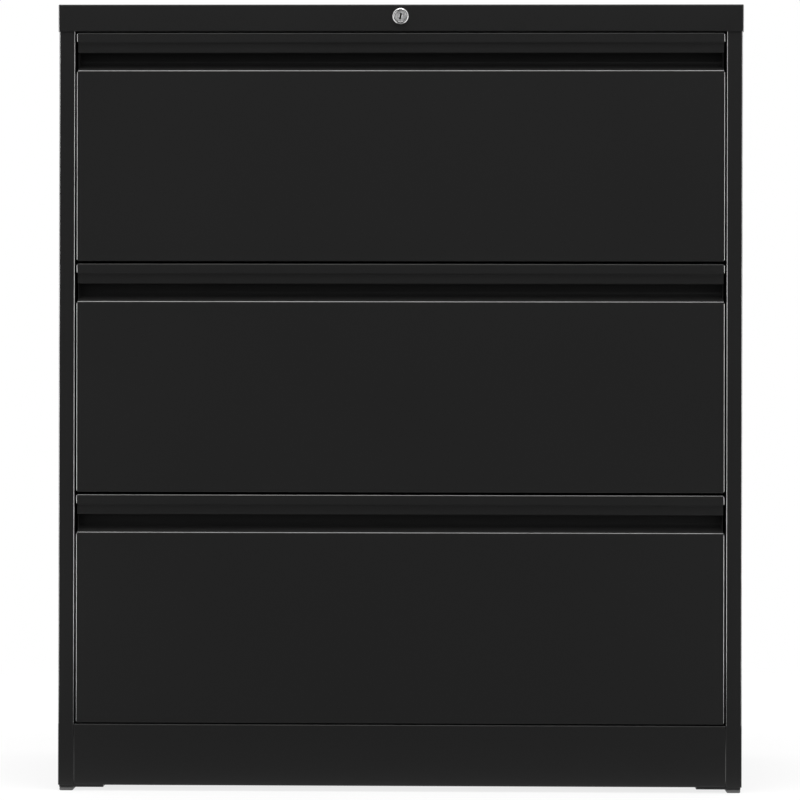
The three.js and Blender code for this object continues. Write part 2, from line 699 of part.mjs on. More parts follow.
function lockBar() {
  const slotMiddle = LOCK_Z - CRANK_OFFSET;
  const bottom = bayBottom(DRAWER_COUNT) + HOOK_BOTTOM - BAR_TAIL;
  const bar = block(
    [BAR_X - BAR_WIDTH / 2, BAR_X + BAR_WIDTH / 2],
    [BAR_FRONT, BAR_BACK],
    [bottom, slotMiddle + BAR_HEAD],
  );
  const across = [BAR_X - HOOK_WIDTH / 2, BAR_X + HOOK_WIDTH / 2];
  const toothBack = TRAY_BACK + CATCH_REACH - CATCH_STEEL - HOOK_PLAY;
  const toothFront = toothBack - HOOK_STEEL;
  const hooks = DRAWERS.map((drawer) => {
    const bay = bayBottom(drawer);
    const arm = [bay + HOOK_BOTTOM, bay + HOOK_BOTTOM + HOOK_STEEL];
    return [
      block(across, [toothFront, BAR_BACK], arm),
      block(across, [toothFront, toothBack], [arm[0], bay + TOOTH_TOP]),
    ];
  });
  const slotHalf = (CRANK_ARM - CRANK_OFFSET) / 2 + PIN_RADIUS + SLOT_END_PLAY;
  const slot = block(
    [BAR_X - slotHalf, BAR_X + slotHalf],
    [BAR_FRONT - FIT, BAR_BACK + FIT],
    [slotMiddle - PIN_RADIUS - PIN_PLAY, slotMiddle + PIN_RADIUS + PIN_PLAY],
  );
  return cut(join(bar, ...hooks.flat()), slot);
}

function lockRodHanger() {
  const plate = CRANK_FRONT - RUN - ROD_HANGER_STEEL / 2;
  const top = HEIGHT - SKIN - ROD_HANGER_STEEL / 2;
  const outline = [
    [plate - ROD_HANGER_FLANGE, top],
    [plate, top],
    [plate, LOCK_Z - ROD_HANGER_DROP],
  ];
  const across = [-ROD_HANGER_WIDTH / 2, ROD_HANGER_WIDTH / 2];
  const bracket = extrude(sheetShape(outline, HANGER_SHEET), "x", across);
  const hole = levelRod(ROD_RADIUS + FIT, [0, LOCK_Z], [plate - ROD_HANGER_STEEL, CRANK_FRONT]);
  return cut(bracket, hole);
}

function lockBarGuide(bottom) {
  const foot = REAR - SKIN - STRAP_STEEL / 2;
  const bridge = BAR_FRONT - RUN - STRAP_STEEL / 2;
  const wall = BAR_WIDTH / 2 + RUN + STRAP_STEEL / 2;
  const rightHalf = [
    [wall, bridge],
    [wall, foot],
    [wall + STRAP_FOOT, foot],
  ];
  const outline = [...mirrored(rightHalf, HANDS.left).reverse(), ...rightHalf];
  const strap = extrude(sheetShape(outline, STRAP_SHEET), "z", [bottom, bottom + STRAP_HEIGHT]);
  return strap.translate(BAR_X, 0, 0);
}

// Assembly
const group = new THREE.Group();

function add(name, geometry, material, { hand = HANDS.right, z = 0 } = {}) {
  const mesh = new THREE.Mesh(geometry, material);
  mesh.name = name;
  mesh.scale.x = hand;
  mesh.position.z = z;
  group.add(mesh);
}

add("top_panel", topPanel(), BLACK_PAINT);
add("back_panel", backPanel(), BLACK_PAINT);
add("base_panel", basePanel(), BLACK_PAINT);
add("kick_plate", kickPlate(), BLACK_PAINT);

const side = sidePanel();
const upright = rearUpright();
for (const [name, hand] of Object.entries(HANDS)) {
  add(`side_panel_${name}`, side, BLACK_PAINT, { hand });
  add(`rear_upright_${name}`, upright, BLACK_PAINT, { hand });
}

for (const end of ENDS) {
  const gusset = cornerGusset(end);
  const foot = leveller(end);
  for (const [name, hand] of Object.entries(HANDS)) {
    add(`corner_gusset_${end}_${name}`, gusset, BLACK_PAINT, { hand });
    add(`leveller_${end}_${name}`, foot, GREY_NYLON, { hand });
  }
}

const members = { outer: slideOuter(), middle: slideMiddle(), inner: slideInner() };
const drawerPieces = {
  front: [drawerFront(), BLACK_PAINT],
  front_liner: [frontLiner(), BLACK_PAINT],
  tray: [tray(), BLACK_PAINT],
  hanger_bar_front: [hangerBar("front"), ZINC_STEEL],
  hanger_bar_rear: [hangerBar("rear"), ZINC_STEEL],
  catch: [drawerCatch(), ZINC_STEEL],
};
for (const drawer of DRAWERS) {
  const bay = bayBottom(drawer);
  for (const [piece, [geometry, material]] of Object.entries(drawerPieces))
    add(`drawer_${drawer}_${piece}`, geometry, material, { z: bay });
  for (const [member, geometry] of Object.entries(members))
    for (const [name, hand] of Object.entries(HANDS))
      add(`slide_${member}_${drawer}_${name}`, geometry, ZINC_STEEL, { hand, z: bay + SLIDE_CENTRE });
}

add("lock_housing", lockHousing(), CHROME);
add("lock_plug", lockPlug(), CHROME);
add("lock_nut", lockNut(), ZINC_STEEL);
add("lock_rod", lockRod(), ZINC_STEEL);
add("lock_bar", lockBar(), ZINC_STEEL);
add("lock_rod_hanger", lockRodHanger(), ZINC_STEEL);
const guideBottoms = {
  upper: bayBottom(1) + TOOTH_TOP + UPPER_STRAP_OFFSET,
  lower: bayBottom(DRAWER_COUNT) + HOOK_BOTTOM - (BAR_TAIL + STRAP_HEIGHT) / 2,
};
for (const [name, bottom] of Object.entries(guideBottoms))
  add(`lock_bar_guide_${name}`, lockBarGuide(bottom), ZINC_STEEL);

export default group;
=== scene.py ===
# %% [markdown]
# # A black lateral filing cabinet
#
# The cabinet is folded from thin sheet steel, powder coated black, with zinc plated slides and a chrome
# lock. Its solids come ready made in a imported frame, grouped in the bodies that slide and turn. They
# stay as they are: this lesson gives them finishes, adds the small hardware that holds such a cabinet
# together, and lights and frames it like a catalogue picture.

import json
import math

import bmesh
import bpy
from mathutils import Matrix, Vector


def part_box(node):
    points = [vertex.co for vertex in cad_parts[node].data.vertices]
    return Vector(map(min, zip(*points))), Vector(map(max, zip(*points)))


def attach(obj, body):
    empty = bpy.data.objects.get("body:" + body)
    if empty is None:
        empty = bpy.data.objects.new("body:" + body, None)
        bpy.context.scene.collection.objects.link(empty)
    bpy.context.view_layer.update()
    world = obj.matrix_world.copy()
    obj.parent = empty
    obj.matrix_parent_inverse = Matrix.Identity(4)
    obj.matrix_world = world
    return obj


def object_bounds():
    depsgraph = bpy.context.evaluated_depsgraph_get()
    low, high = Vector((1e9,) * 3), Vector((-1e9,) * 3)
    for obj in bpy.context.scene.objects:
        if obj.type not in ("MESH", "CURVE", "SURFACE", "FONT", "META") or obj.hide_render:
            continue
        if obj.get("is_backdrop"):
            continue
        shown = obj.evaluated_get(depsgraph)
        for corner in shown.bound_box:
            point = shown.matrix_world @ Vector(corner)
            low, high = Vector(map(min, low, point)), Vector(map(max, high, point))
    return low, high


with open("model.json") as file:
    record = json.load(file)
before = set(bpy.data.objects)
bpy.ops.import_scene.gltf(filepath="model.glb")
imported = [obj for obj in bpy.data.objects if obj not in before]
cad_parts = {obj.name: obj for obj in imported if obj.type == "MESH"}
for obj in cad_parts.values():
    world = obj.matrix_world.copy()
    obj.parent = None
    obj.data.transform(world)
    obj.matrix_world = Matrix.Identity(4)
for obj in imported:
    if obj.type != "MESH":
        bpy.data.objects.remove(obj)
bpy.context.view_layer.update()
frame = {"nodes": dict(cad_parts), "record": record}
nodes = frame["nodes"]
MM = 0.001
DRAWERS = (1, 2, 3)
HANDS = {"left": -1, "right": 1}

# %% [markdown]
# ## Flat panels and round folds
#
# A fold in sheet steel is a tight bend, about 2 mm in radius, that catches a thin line of light. The
# panels beside it are dead flat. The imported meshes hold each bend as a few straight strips. A
# subdivision would round them but also puff up the panels. Here a small geometry node group welds the
# mesh and keeps an edge sharp only where it turns more than one strip of a bend does, and a Weighted
# Normal modifier lets the large flat faces lead, so that no shading leaks from a bend into a panel.

# %% Shade the folds
WIDEST_SMOOTH_TURN = math.radians(35)
WELD_DISTANCE = 0.002 * MM


def fold_shading_group():
    """Welds a mesh, shades it smooth and keeps edges sharp that turn more than a bend's strips do."""
    group = bpy.data.node_groups.new("fold_shading", "GeometryNodeTree")
    group.interface.new_socket("Mesh", in_out="INPUT", socket_type="NodeSocketGeometry")
    group.interface.new_socket("Mesh", in_out="OUTPUT", socket_type="NodeSocketGeometry")
    start = group.nodes.new("NodeGroupInput")
    drop_normals = group.nodes.new("GeometryNodeRemoveAttribute")
    drop_normals.inputs["Name"].default_value = "custom_normal"
    weld = group.nodes.new("GeometryNodeMergeByDistance")
    weld.inputs["Distance"].default_value = WELD_DISTANCE
    smooth_faces = group.nodes.new("GeometryNodeSetShadeSmooth")
    sharp_edges = group.nodes.new("GeometryNodeSetShadeSmooth")
    sharp_edges.domain = "EDGE"
    sharp_edges.inputs["Shade Smooth"].default_value = False
    turn = group.nodes.new("GeometryNodeInputMeshEdgeAngle")
    too_sharp = group.nodes.new("FunctionNodeCompare")
    too_sharp.inputs["B"].default_value = WIDEST_SMOOTH_TURN
    end = group.nodes.new("NodeGroupOutput")
    chain = (start, drop_normals, weld, smooth_faces, sharp_edges, end)
    for earlier, later in zip(chain, chain[1:]):
        group.links.new(earlier.outputs[0], later.inputs[0])
    group.links.new(turn.outputs["Unsigned Angle"], too_sharp.inputs["A"])
    group.links.new(too_sharp.outputs["Result"], sharp_edges.inputs["Selection"])
    return group


fold_shading = fold_shading_group()


def shade_folds(obj):
    """Adds the two modifiers that make flats flat and bends round."""
    shading = obj.modifiers.new("fold_shading", "NODES")
    shading.node_group = fold_shading
    normals = obj.modifiers.new("flats_lead", "WEIGHTED_NORMAL")
    normals.keep_sharp = True


for node in nodes.values():
    shade_folds(node)
print("fold shading on", len(nodes), "solids")

# %% [markdown]
# ## A few helpers for shader nodes
#
# Every finish below is a node material: noise, a mask and a Principled shader. Building nodes by hand
# takes many lines, so one helper adds a node and fills or wires its sockets, and another makes a node
# group with named inputs and outputs for an effect that several finishes share.

# %% Node helpers
RELIEF_DEPTH = 0.05 * MM


def add(tree, kind, sockets=None, **settings):
    """Adds a shader node. A socket takes a number, a colour, or the output of another node."""
    node = tree.nodes.new("ShaderNode" + kind)
    for name, value in settings.items():
        setattr(node, name, value)
    for key, value in (sockets or {}).items():
        if isinstance(value, bpy.types.NodeSocket):
            tree.links.new(value, node.inputs[key])
        else:
            node.inputs[key].default_value = value
    return node


def effect_group(name, inputs, outputs):
    """An empty shader node group with named number sockets, its inputs and its outputs."""
    group = bpy.data.node_groups.new(name, "ShaderNodeTree")
    for label in inputs:
        group.interface.new_socket(label, in_out="INPUT", socket_type="NodeSocketFloat")
    for label in outputs:
        group.interface.new_socket(label, in_out="OUTPUT", socket_type="NodeSocketFloat")
    start = group.nodes.new("NodeGroupInput")
    end = group.nodes.new("NodeGroupOutput")
    return group, start.outputs, end.inputs


def use(tree, group, **values):
    """Adds an effect group to a material and sets its inputs."""
    node = tree.nodes.new("ShaderNodeGroup")
    node.node_tree = group
    for label, value in values.items():
        node.inputs[label].default_value = value
    return node.outputs


def blend(tree, mask, below, above):
    """A colour that goes from below to above as the mask goes from 0 to 1."""
    mix = add(tree, "Mix", data_type="RGBA")
    sockets = {"Factor_Float": mask, "A_Color": below, "B_Color": above}
    for socket in mix.inputs:
        if socket.identifier in sockets:
            value = sockets[socket.identifier]
            if isinstance(value, bpy.types.NodeSocket):
                tree.links.new(value, socket)
            else:
                socket.default_value = value
    return next(socket for socket in mix.outputs if socket.identifier == "Result_Color")


def spread(tree, value, low, high, start=0.0, end=1.0):
    """Maps a value that runs from start to end onto low to high."""
    sockets = {"Value": value, "From Min": start, "From Max": end, "To Min": low, "To Max": high}
    return add(tree, "MapRange", sockets).outputs["Result"]


def new_material(name):
    """A node material, its tree and its Principled shader."""
    material = bpy.data.materials.new(name)
    material.use_nodes = True
    tree = material.node_tree
    return material, tree, tree.nodes["Principled BSDF"]


def grey(value):
    """A colour without hue."""
    return (value, value, value, 1.0)


def fine_relief(tree, shader, height, strength):
    """Gives a shader a shallow relief from a height that changes over the surface."""
    relief = add(tree, "Bump", {"Height": height, "Strength": strength, "Distance": RELIEF_DEPTH})
    tree.links.new(relief.outputs["Normal"], shader.inputs["Normal"])


# %% [markdown]
# ## Effects that the finishes share
#
# Powder coat melts into a skin with a faint orange peel, and its gloss drifts a little over a large
# panel. It is thinnest on cut edges, where it wears. Hands polish the upright bends and the edge that
# fingers reach behind, and shoes the top edge of the bottom drawer. Dust settles on what faces up. Zinc
# plate shows the rolling lines of the strip under it. Each of these is one group. They read the
# object's own coordinates, so the pattern travels with a drawer when it opens.

# %% Powder grain and edge wear
NOISE_RANGE = {"start": 0.3, "end": 0.7}  # nearly all of the noise lies between these
PATCH_RANGE = {"start": 0.35, "end": 0.65}
EDGE_RANGE = {"start": 0.80, "end": 0.99}  # how far the rounded normal agrees with the true one
BEVEL_SAMPLES = 6
LEAST_WEAR = 0.35


def grain_group():
    """Orange peel, which is a fine relief, and the slow drift of gloss over a panel."""
    scales = ["Peel Scale", "Drift Scale"]
    group, given, result = effect_group("powder_grain", scales, ["Peel", "Drift"])
    place = add(group, "TexCoord").outputs["Object"]
    peel = add(group, "TexNoise", {"Vector": place, "Scale": given["Peel Scale"], "Detail": 1.5})
    drift = add(group, "TexNoise", {"Vector": place, "Scale": given["Drift Scale"], "Detail": 4.0})
    group.links.new(peel.outputs[0], result["Peel"])
    group.links.new(drift.outputs[0], result["Drift"])
    return group


def wear_group():
    """Marks edges in patches: a rounded normal turns away there from the true one."""
    group, given, result = effect_group("edge_wear", ["Radius", "Patch Scale"], ["Wear"])
    place = add(group, "TexCoord").outputs["Object"]
    rounded = add(group, "Bevel", {"Radius": given["Radius"]}, samples=BEVEL_SAMPLES)
    surface = add(group, "NewGeometry")
    normals = {0: rounded.outputs["Normal"], 1: surface.outputs["Normal"]}
    agreement = add(group, "VectorMath", normals, operation="DOT_PRODUCT").outputs["Value"]
    edge = spread(group, agreement, 1.0, 0.0, **EDGE_RANGE)
    patches = add(group, "TexNoise", {"Vector": place, "Scale": given["Patch Scale"], "Detail": 3.0})
    patchy = spread(group, patches.outputs[0], LEAST_WEAR, 1.0, **PATCH_RANGE)
    worn = add(group, "Math", {0: edge, 1: patchy}, operation="MULTIPLY", use_clamp=True)
    group.links.new(worn.outputs[0], result["Wear"])
    return group


powder_grain = grain_group()
edge_wear = wear_group()
print("effect groups:", powder_grain.name, "and", edge_wear.name)

# %% Polished bends
PANEL_HEIGHT = 251 * MM  # of a drawer front, below its pull
PLINTH_TOP = 88 * MM
FINGER_REACH = 5 * MM
FINGER_SHARE = 0.40  # an edge that only fingers reach is polished less than an upright bend
BEND_RANGE = {"start": 0.90, "end": 0.99}  # largest part of the normal
UPRIGHT_RANGE = {"start": 0.15, "end": 0.35}  # upward part of the normal
LEAST_POLISH = 0.75


def rubbed_heights():
    """The upper edge of each front panel, where fingers reach in, and the bottom drawer's top edge."""
    fronts = [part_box(f"drawer_{number}_front") for number in DRAWERS]
    return [low.z + PANEL_HEIGHT for low, high in fronts] + [fronts[-1][1].z]


def bend_mask(group):
    """Finds bends: a flat of this cabinet looks along an axis, and a bend looks between two of them."""
    surface = add(group, "NewGeometry")
    sizes = add(group, "VectorMath", {0: surface.outputs["Normal"]}, operation="ABSOLUTE")
    parts = add(group, "SeparateXYZ", {"Vector": sizes.outputs["Vector"]}).outputs
    larger = add(group, "Math", {0: parts["X"], 1: parts["Y"]}, operation="MAXIMUM")
    largest = add(group, "Math", {0: larger.outputs[0], 1: parts["Z"]}, operation="MAXIMUM")
    bend = spread(group, largest.outputs[0], 1.0, 0.0, **BEND_RANGE)
    return bend, parts["Z"]


def polish_group():
    """Marks, in patches, the bends that hands and shoes rub."""
    group, given, result = effect_group("bend_polish", ["Patch Scale"], ["Polish"])
    place = add(group, "TexCoord").outputs["Object"]
    height = add(group, "SeparateXYZ", {"Vector": place}).outputs["Z"]
    bend, upward = bend_mask(group)
    upright = spread(group, upward, 1.0, 0.0, **UPRIGHT_RANGE)
    above_plinth = add(group, "Math", {0: height, 1: PLINTH_TOP}, operation="GREATER_THAN")
    touched = add(group, "Math", {0: upright, 1: above_plinth.outputs[0]}, operation="MULTIPLY")
    for level in rubbed_heights():
        near = add(group, "Math", {0: height, 1: level, 2: FINGER_REACH}, operation="COMPARE")
        edge = add(group, "Math", {0: near.outputs[0], 1: FINGER_SHARE}, operation="MULTIPLY")
        either = {0: touched.outputs[0], 1: edge.outputs[0]}
        touched = add(group, "Math", either, operation="MAXIMUM")
    patches = add(group, "TexNoise", {"Vector": place, "Scale": given["Patch Scale"], "Detail": 2.0})
    patchy = spread(group, patches.outputs[0], LEAST_POLISH, 1.0, **PATCH_RANGE)
    rubbed = add(group, "Math", {0: bend, 1: touched.outputs[0]}, operation="MULTIPLY")
    uneven = {0: rubbed.outputs[0], 1: patchy}
    polish = add(group, "Math", uneven, operation="MULTIPLY", use_clamp=True)
    group.links.new(polish.outputs[0], result["Polish"])
    return group


bend_polish = polish_group()
print("edges rubbed at heights of", [round(level / MM) for level in rubbed_heights()], "mm")

# %% Dust and rolling lines
UPWARD_RANGE = {"start": 0.75, "end": 1.0}
SPECK_RANGE = {"start": 0.40, "end": 0.70}
ALONG_THE_STRIP = (1.0, 0.02, 1.0)  # draws the noise out into lines that run from front to back


def dust_group():
    """Specks on what faces up."""
    group, given, result = effect_group("settled_dust", ["Amount", "Speck Scale"], ["Dust"])
    place = add(group, "TexCoord").outputs["Object"]
    surface = add(group, "NewGeometry")
    upward = add(group, "SeparateXYZ", {"Vector": surface.outputs["Normal"]}).outputs["Z"]
    facing_up = spread(group, upward, 0.0, 1.0, **UPWARD_RANGE)
    specks = add(group, "TexNoise", {"Vector": place, "Scale": given["Speck Scale"], "Detail": 6.0})
    settled = spread(group, specks.outputs[0], 0.0, 1.0, **SPECK_RANGE)
    dust = add(group, "Math", {0: facing_up, 1: settled}, operation="MULTIPLY")
    thin = add(group, "Math", {0: dust.outputs[0], 1: given["Amount"]}, operation="MULTIPLY")
    group.links.new(thin.outputs[0], result["Dust"])
    return group


def rolling_group():
    """Fine lines along a strip, and cloudy patches."""
    scales = ["Line Scale", "Cloud Scale"]
    group, given, result = effect_group("rolling_lines", scales, ["Lines", "Cloud"])
    place = add(group, "TexCoord").outputs["Object"]
    along = add(group, "VectorMath", {0: place, 1: ALONG_THE_STRIP}, operation="MULTIPLY").outputs[0]
    lines = add(group, "TexNoise", {"Vector": along, "Scale": given["Line Scale"], "Detail": 3.0})
    cloud = add(group, "TexNoise", {"Vector": place, "Scale": given["Cloud Scale"], "Detail": 4.0})
    group.links.new(lines.outputs[0], result["Lines"])
    group.links.new(cloud.outputs[0], result["Cloud"])
    return group


settled_dust = dust_group()
rolling_lines = rolling_group()
print("effect groups:", [group.name for group in bpy.data.node_groups])

# %% [markdown]
# ## Black powder coat
#
# The photograph shows one even satin black on case and drawers. Black paint is never pure black:
# between one and two percent of the light comes back scattered, and the rest of what the eye sees is
# reflection. So the base colour is the picked colour itself, and the specular level is set low.
# The bends that hands reach are rubbed smooth, so the polish mask puts a glossy coat on them. That coat
# carries the thin bright lines that draw the cabinet.

# %% Paint
PAINT_DARK = grey(0.0166)
PAINT_LIGHT = grey(0.0174)
WORN_PAINT = grey(0.030)
PAINT_ROUGHNESS = 0.32
ROUGHNESS_DRIFT = 0.01
PAINT_SPECULAR = 0.25
PAINT_RELIEF = 0.10
POLISHED_ROUGHNESS = 0.15
POLISHED_IOR = 2.7
DUST_COLOUR = (0.30, 0.29, 0.27, 1.0)
CASE_DUST = 0.025
DRAWER_DUST = 0.01


def paint(name, dust_amount):
    """Powder coat with worn edges, dust and polished bends."""
    material, tree, shader = new_material(name)
    grain = use(tree, powder_grain, **{"Peel Scale": 420.0, "Drift Scale": 5.0})
    wear = use(tree, edge_wear, **{"Radius": 1.2 * MM, "Patch Scale": 35.0})["Wear"]
    polish = use(tree, bend_polish, **{"Patch Scale": 20.0})["Polish"]
    dust = use(tree, settled_dust, **{"Amount": dust_amount, "Speck Scale": 260.0})["Dust"]
    coat = blend(tree, grain["Drift"], PAINT_DARK, PAINT_LIGHT)
    handled = blend(tree, wear, coat, WORN_PAINT)
    dusty = blend(tree, dust, handled, DUST_COLOUR)
    tree.links.new(dusty, shader.inputs["Base Color"])
    smoothest = PAINT_ROUGHNESS - ROUGHNESS_DRIFT
    roughest = PAINT_ROUGHNESS + ROUGHNESS_DRIFT
    gloss = spread(tree, grain["Drift"], smoothest, roughest, **NOISE_RANGE)
    tree.links.new(gloss, shader.inputs["Roughness"])
    shader.inputs["Specular IOR Level"].default_value = PAINT_SPECULAR
    tree.links.new(polish, shader.inputs["Coat Weight"])
    shader.inputs["Coat Roughness"].default_value = POLISHED_ROUGHNESS
    shader.inputs["Coat IOR"].default_value = POLISHED_IOR
    fine_relief(tree, shader, grain["Peel"], PAINT_RELIEF)
    return material


finishes = {
    "case_paint": paint("case_paint", CASE_DUST),
    "drawer_paint": paint("drawer_paint", DRAWER_DUST),
}
print("painted finishes:", list(finishes))

# %% [markdown]
# ## Plated and polished metal
#
# Slides, hanger bars and the lock's linkage are zinc plated: a cool, dull grey with fine lines along
# the strip and cloudy patches. The lock's rim is chromed brass, smooth enough to mirror the lamps. One
# function makes all of them, because they differ only in colour, gloss and the strength of their lines.

# %% Metal
PLATE_CLOUDS = 45.0
ZINC_DARK = (0.32, 0.335, 0.35, 1.0)
ZINC_LIGHT = (0.47, 0.485, 0.50, 1.0)
# Darkest and lightest colour, smallest and largest roughness, strength of the lines.
PLATED = {
    "slide_steel": (ZINC_DARK, ZINC_LIGHT, 0.50, 0.60, 0.20),
    "hanger_steel": (ZINC_DARK, ZINC_LIGHT, 0.46, 0.58, 0.20),
    "lock_steel": (ZINC_DARK, ZINC_LIGHT, 0.30, 0.42, 0.15),
    "lock_chrome": (grey(0.66), grey(0.84), 0.20, 0.28, 0.02),
}


def metal(name, dark, light, smoothest, roughest, line_relief, cloud_scale=PLATE_CLOUDS):
    """Plated or bare metal with clouds, fine lines and brighter edges."""
    material, tree, shader = new_material(name)
    marks = use(tree, rolling_lines, **{"Line Scale": 900.0, "Cloud Scale": cloud_scale})
    wear = use(tree, edge_wear, **{"Radius": 0.6 * MM, "Patch Scale": 80.0})["Wear"]
    plate = blend(tree, marks["Cloud"], dark, light)
    polished = blend(tree, wear, plate, light)
    tree.links.new(polished, shader.inputs["Base Color"])
    shader.inputs["Metallic"].default_value = 1.0
    gloss = spread(tree, marks["Cloud"], smoothest, roughest, **NOISE_RANGE)
    tree.links.new(gloss, shader.inputs["Roughness"])
    fine_relief(tree, shader, marks["Lines"], line_relief)
    return material


for name, look in PLATED.items():
    finishes[name] = metal(name, *look)
print("metal finishes:", list(PLATED))

# %% [markdown]
# ## The lock's plug
#
# The plug is dull, mottled nickel. A bright patch beside the keyhole is a painted highlight of its
# chamfer, and painted shade darkens the rim and the inside of the slot. Both are soft patches round the
# middle of the keyhole, measured in its own tilted directions, and they are laid over the metal of the
# cell above.

# %% Plug
KEYHOLE_TILT = math.radians(11)
NICKEL = (grey(0.20), grey(0.86), 0.45, 0.60, 0.25)
NICKEL_CLOUDS = 520.0
# painted shade: near black that stands in for the shade in and round the keyhole's slot
SLOT_PAINTED_SHADE = grey(0.02)
SLOT_SHADE_HALF = (1.25 * MM, 4.1 * MM)  # half width and half height of the dark rim round the keyhole
SLOT_SHADE_DEPTH = {"start": 0.05 * MM, "end": 0.4 * MM}
# painted highlight: a near-white patch that stands in for light on the keyhole's chamfer
PAINTED_HIGHLIGHT = grey(0.95)
HIGHLIGHT_HALF = (2.7 * MM, 2.0 * MM)
SOFT = 0.3 * MM


def keyhole_middle():
    """The middle of the keyhole, in the front face of the plug."""
    low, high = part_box("lock_plug")
    return Vector(((low.x + high.x) / 2, low.y, (low.z + high.z) / 2))


def keyhole_parts(tree):
    """Distances from the middle of the keyhole: across it, into the plug and along it."""
    middle = keyhole_middle()
    place = add(tree, "TexCoord").outputs["Object"]
    turned = {"Vector": place, "Center": middle, "Angle": -KEYHOLE_TILT}
    upright = add(tree, "VectorRotate", turned, rotation_type="Y_AXIS")
    offset = add(tree, "VectorMath", {0: upright.outputs[0], 1: middle}, operation="SUBTRACT")
    distance = add(tree, "VectorMath", {0: offset.outputs[0]}, operation="ABSOLUTE")
    return add(tree, "SeparateXYZ", {"Vector": distance.outputs[0]}).outputs


def near_keyhole(tree, parts, half_size):
    """A soft-edged mask of a patch round the keyhole."""
    masks = [
        spread(tree, parts[axis], 1.0, 0.0, start=half - SOFT / 2, end=half + SOFT / 2)
        for axis, half in zip("XZ", half_size)
    ]
    return add(tree, "Math", {0: masks[0], 1: masks[1]}, operation="MULTIPLY").outputs[0]


def plug_nickel():
    """Nickel with a painted highlight beside the keyhole and painted shade in and round its slot."""
    material = metal("plug_nickel", *NICKEL, NICKEL_CLOUDS)
    tree = material.node_tree
    colour = tree.nodes["Principled BSDF"].inputs["Base Color"]
    plated = colour.links[0].from_socket
    parts = keyhole_parts(tree)
    # lays the painted highlight over the nickel beside the keyhole
    highlighted = blend(tree, near_keyhole(tree, parts, HIGHLIGHT_HALF), plated, PAINTED_HIGHLIGHT)
    # painted shade: whatever lies deeper than the plug's face, inside the slot, is darkened
    inside = spread(tree, parts["Y"], 0.0, 1.0, **SLOT_SHADE_DEPTH)
    rim = near_keyhole(tree, parts, SLOT_SHADE_HALF)
    slot_shade = add(tree, "Math", {0: inside, 1: rim}, operation="MAXIMUM").outputs[0]
    tree.links.new(blend(tree, slot_shade, highlighted, SLOT_PAINTED_SHADE), colour)
    return material


finishes["plug_nickel"] = plug_nickel()
print("plug finish with", len(finishes["plug_nickel"].node_tree.nodes), "nodes")

# %% [markdown]
# ## Nylon, brass and ball steel
#
# The feet are moulded nylon, mid grey and matt, scuffed lighter by the floor. The small plates that
# show in the keyhole are brass darkened with painted shade, for the shade of the keyway, and the balls
# of the slides are bright steel. All three are plain mixes of the groups above.

# %% Nylon, brass and ball steel
NYLON_DARK = grey(0.080)
NYLON_LIGHT = grey(0.120)
SCUFFED = grey(0.20)
NYLON_GLOSS = (0.45, 0.60)
NYLON_RELIEF = 0.20
# painted shade: the brass colour is darkened to stand in for the shade inside the keyway
BRASS_IN_PAINTED_SHADE = ((0.10, 0.07, 0.03, 1.0), (0.18, 0.13, 0.06, 1.0), 0.25, 0.38, 0.10)
BALL_STEEL = (grey(0.50), grey(0.62), 0.10, 0.18, 0.02)


def nylon(name):
    """Moulded nylon, scuffed lighter at its edges."""
    material, tree, shader = new_material(name)
    grain = use(tree, powder_grain, **{"Peel Scale": 900.0, "Drift Scale": 60.0})
    wear = use(tree, edge_wear, **{"Radius": 0.8 * MM, "Patch Scale": 120.0})["Wear"]
    body = blend(tree, grain["Drift"], NYLON_DARK, NYLON_LIGHT)
    scuffed = blend(tree, wear, body, SCUFFED)
    tree.links.new(scuffed, shader.inputs["Base Color"])
    gloss = spread(tree, grain["Drift"], *NYLON_GLOSS, **NOISE_RANGE)
    tree.links.new(gloss, shader.inputs["Roughness"])
    fine_relief(tree, shader, grain["Peel"], NYLON_RELIEF)
    return material


finishes["foot_nylon"] = nylon("foot_nylon")
painted_shade_brass = metal("wafer_brass_in_painted_shade", *BRASS_IN_PAINTED_SHADE)
ball_steel = metal("ball_steel", *BALL_STEEL)
print("other finishes:", ["foot_nylon", painted_shade_brass.name, ball_steel.name])

# %% [markdown]
# ## Which solid takes which finish
#
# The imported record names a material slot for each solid, so the finishes above carry the same names and
# the assignment is one loop.

# %% Assign the finishes
for subpart in frame["record"]["subparts"]:
    obj = nodes[subpart["node"]]
    obj.data.materials.clear()
    obj.data.materials.append(finishes[subpart["material_slot"]])

# %% [markdown]
# ## Small hardware: how a piece is added
#
# Screw heads, rivets and ball strips are turned or drawn pieces, so each is a stack of outlines joined
# with quads. One function builds the stack. A second one copies such a head to many places, turned to
# look away from the face it stands on. A third gives the finished mesh its material and the body it
# travels with.

# %% Builders for small pieces
SPIN_STEP = math.radians(37)  # no two screws stop at the same angle


def stack_mesh(name, outlines):
    """A closed mesh from outlines with the same number of points, joined in order and capped."""
    build = bmesh.new()
    rings = [[build.verts.new(point) for point in outline] for outline in outlines]
    for lower, upper in zip(rings, rings[1:]):
        for here in range(len(lower)):
            there = (here + 1) % len(lower)
            build.faces.new((lower[here], lower[there], upper[there], upper[here]))
    build.faces.new(rings[0][::-1])
    build.faces.new(rings[-1])
    bmesh.ops.recalc_face_normals(build, faces=build.faces)
    mesh = bpy.data.meshes.new(name)
    build.to_mesh(mesh)
    build.free()
    return mesh


def object_from(name, build, material):
    """Turns a bmesh into an object with one material."""
    mesh = bpy.data.meshes.new(name)
    build.to_mesh(mesh)
    build.free()
    mesh.materials.append(material)
    obj = bpy.data.objects.new(name, mesh)
    bpy.context.scene.collection.objects.link(obj)
    return obj


def piece(name, build, material, body):
    """Turns a bmesh into a finished object that travels with a body."""
    obj = object_from(name, build, material)
    shade_folds(obj)
    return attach(obj, body)


